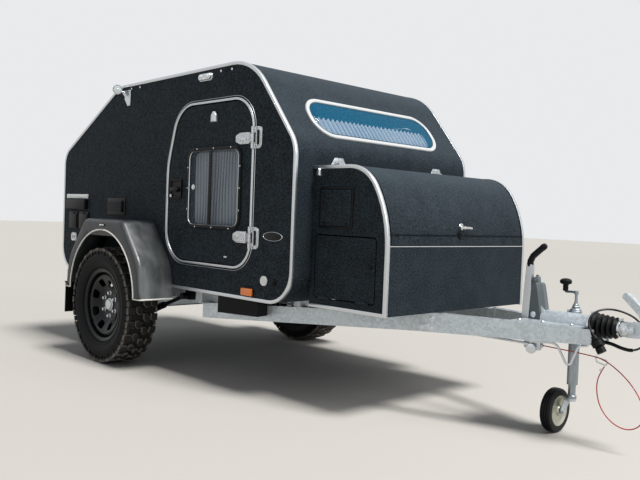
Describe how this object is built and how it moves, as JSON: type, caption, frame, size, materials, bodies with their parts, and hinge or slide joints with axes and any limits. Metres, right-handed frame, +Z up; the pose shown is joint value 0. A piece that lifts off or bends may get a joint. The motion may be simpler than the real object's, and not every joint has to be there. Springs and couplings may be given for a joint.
{
  "type": "teardrop trailer",
  "caption": "Small off-road teardrop trailer: hollow cabin with side doors and rear tailgate, front locker, mudguards, V drawbar with overrun coupling and jockey wheel.",
  "frame": {"origin": "on the ground, under the middle of the trailer's length and width", "axes": "+X forward to the coupling, +Y to the trailer's left, +Z up"},
  "size_m": [3.988, 1.816, 1.7279],
  "materials": {
    "coated_panel": "black sprayed textured coat on sandwich sheet",
    "silver_trim": "satin anodised aluminium edging",
    "zinc": "hot-dip galvanised steel",
    "chrome": "polished chrome",
    "black_paint": "black powder coat",
    "rim_paint": "black wheel enamel",
    "tyre_rubber": "mud tyre rubber",
    "soft_rubber": "moulded rubber",
    "window_frame": "white moulded frame",
    "tinted_pane": "grey tinted acrylic",
    "blue_pane": "blue tinted acrylic",
    "curtain": "pleated cloth",
    "plywood": "oiled birch plywood",
    "amber": "amber lens",
    "red_lens": "red lens",
    "black_plastic": "black moulded plastic",
    "cable_sheath": "black cable sheath",
    "red_sheath": "red plastic sheathed wire rope"
  },
  "bodies": {
    "root": {"amber_lamps": "amber", "axle": "zinc", "bellows": "soft_rubber", "brake_rod": "zinc", "breakaway_cable": "red_sheath", "breakaway_hook": "chrome", "cable_holders": "zinc", "coupling_head": "zinc", "cross_members": "zinc", "door_seals": "silver_trim", "drawbar_beams": "zinc", "drawbar_rails": "zinc", "edge_trims": "silver_trim", "electric_cable": "cable_sheath", "electric_plug": "black_plastic", "floor_panel": "coated_panel", "front_curtain": "curtain", "front_wall": "coated_panel", "front_window_frame": "window_frame", "front_window_pane": "blue_pane", "galley": "plywood", "handbrake": "zinc", "hinge_brackets": "chrome", "jockey_tube": "zinc", "locker_shell": "coated_panel", "mudguard_left": "coated_panel", "mudguard_right": "coated_panel", "overrun_housing": "zinc", "rail_box": "black_plastic", "rear_bar": "zinc", "roof_lamps": "black_plastic", "roof_panel": "coated_panel", "shock_absorbers": "black_paint", "side_rails": "zinc", "side_vents": "black_plastic", "side_wall_left": "coated_panel", "side_wall_right": "coated_panel", "tail_lamps": "red_lens"},
    "wheel_right": {"tyre_right": "tyre_rubber", "rim_right": "rim_paint"},
    "wheel_left": {"tyre_left": "tyre_rubber", "rim_left": "rim_paint"},
    "door_right": {"door_leaf_right": "coated_panel", "door_window_right": "black_plastic", "door_pane_right": "tinted_pane", "door_curtain_right": "curtain", "door_hardware_right": "chrome"},
    "door_left": {"door_leaf_left": "coated_panel", "door_window_left": "black_plastic", "door_pane_left": "tinted_pane", "door_curtain_left": "curtain", "door_hardware_left": "chrome"},
    "tailgate": {"tailgate": "coated_panel", "tailgate_fittings": "chrome"},
    "locker_lid": {"locker_lid": "coated_panel", "lid_fittings": "chrome"},
    "locker_flap": {"locker_flap": "coated_panel"},
    "jockey_leg": {"jockey_leg": "zinc"},
    "jockey_fork": {"jockey_fork": "zinc"},
    "jockey_wheel": {"jockey_wheel": "soft_rubber"}
  },
  "joints": [
    {"name": "wheel_right_spin", "type": "hinge", "parent": "root", "child": "wheel_right", "pos_m": [-1.009, -0.798, 0.35], "axis": [0, 1, 0], "continuous": true},
    {"name": "wheel_left_spin", "type": "hinge", "parent": "root", "child": "wheel_left", "pos_m": [-1.009, 0.798, 0.35], "axis": [0, 1, 0], "continuous": true},
    {"name": "door_right_hinge", "type": "hinge", "parent": "root", "child": "door_right", "pos_m": [0.173, -0.704, 1.067], "axis": [0, 0, 1], "range_deg": [0, 100]},
    {"name": "door_left_hinge", "type": "hinge", "parent": "root", "child": "door_left", "pos_m": [0.173, 0.704, 1.067], "axis": [0, 0, -1], "range_deg": [0, 100]},
    {"name": "tailgate_hinge", "type": "hinge", "parent": "root", "child": "tailgate", "pos_m": [-1.159, 0, 1.7195], "axis": [0, 1, 0], "range_deg": [0, 75]},
    {"name": "locker_lid_hinge", "type": "hinge", "parent": "root", "child": "locker_lid", "pos_m": [0.511, 0, 1.197], "axis": [0, -1, 0], "range_deg": [0, 75]},
    {"name": "locker_flap_hinge", "type": "hinge", "parent": "root", "child": "locker_flap", "pos_m": [0.716, -0.573, 0.543], "axis": [1, 0, 0], "range_deg": [0, 90]},
    {"name": "jockey_lift", "type": "slide", "parent": "root", "child": "jockey_leg", "axis": [0, 0, 1], "range_m": [0, 0.055]},
    {"name": "jockey_swivel", "type": "hinge", "parent": "jockey_leg", "child": "jockey_fork", "pos_m": [1.551, 0.075, 0.154], "axis": [0, 0, 1], "continuous": true},
    {"name": "jockey_wheel_spin", "type": "hinge", "parent": "jockey_fork", "child": "jockey_wheel", "pos_m": [1.491, 0.041, 0.1], "axis": [1, 0, 0], "continuous": true}
  ]
}
